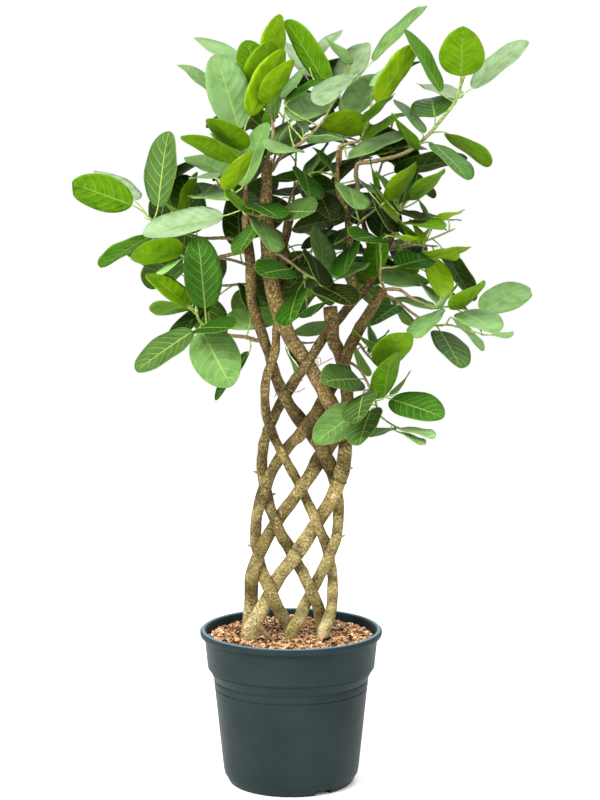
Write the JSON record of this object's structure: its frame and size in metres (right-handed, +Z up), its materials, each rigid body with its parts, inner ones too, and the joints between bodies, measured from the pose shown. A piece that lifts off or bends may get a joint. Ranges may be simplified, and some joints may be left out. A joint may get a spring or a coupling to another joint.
{
  "type": "potted bengal fig",
  "caption": "Bengal fig house plant: six bare woody stems woven into a flat open lattice under a crown of broad oval leaves, standing in a round nursery pot filled with bark soil.",
  "frame": {"origin": "middle of the pot's underside, on the flat pad that touches the floor", "axes": "+Z up along the stems, -Y towards the pictured front, +X to the right seen from the front"},
  "size_m": [0.839, 0.5917, 1.4368],
  "materials": {
    "pot": "satin, moulded",
    "soil": "rough bark and coir chips",
    "bark": "rough, pale grey-tan bark",
    "leaf": "soft sheen"
  },
  "bodies": {
    "root": {"pot": "pot", "soil": "soil", "stem_1": "bark", "stem_2": "bark", "stem_3": "bark", "stem_4": "bark", "stem_5": "bark", "stem_6": "bark", "left_top": "leaf", "top_left": "leaf", "top_centre": "leaf", "left_fore": "leaf", "far_left": "leaf", "left_mid": "leaf", "left_low": "leaf", "centre_front": "leaf", "weave_top": "leaf", "centre_dark": "leaf", "centre_low": "leaf", "centre_right": "leaf", "right_top": "leaf", "right_upper": "leaf", "right_mid": "leaf", "right_mid_low": "leaf", "right_centre": "leaf", "right_low": "leaf", "right_low_side": "leaf", "low_right": "leaf", "low_right_long": "leaf", "far_shoot_01": "leaf", "far_shoot_02": "leaf", "far_shoot_03": "leaf", "far_shoot_04": "leaf", "far_shoot_05": "leaf", "far_shoot_06": "leaf", "far_shoot_07": "leaf", "far_shoot_08": "leaf", "far_shoot_09": "leaf", "far_shoot_10": "leaf", "far_shoot_11": "leaf"}
  },
  "joints": []
}
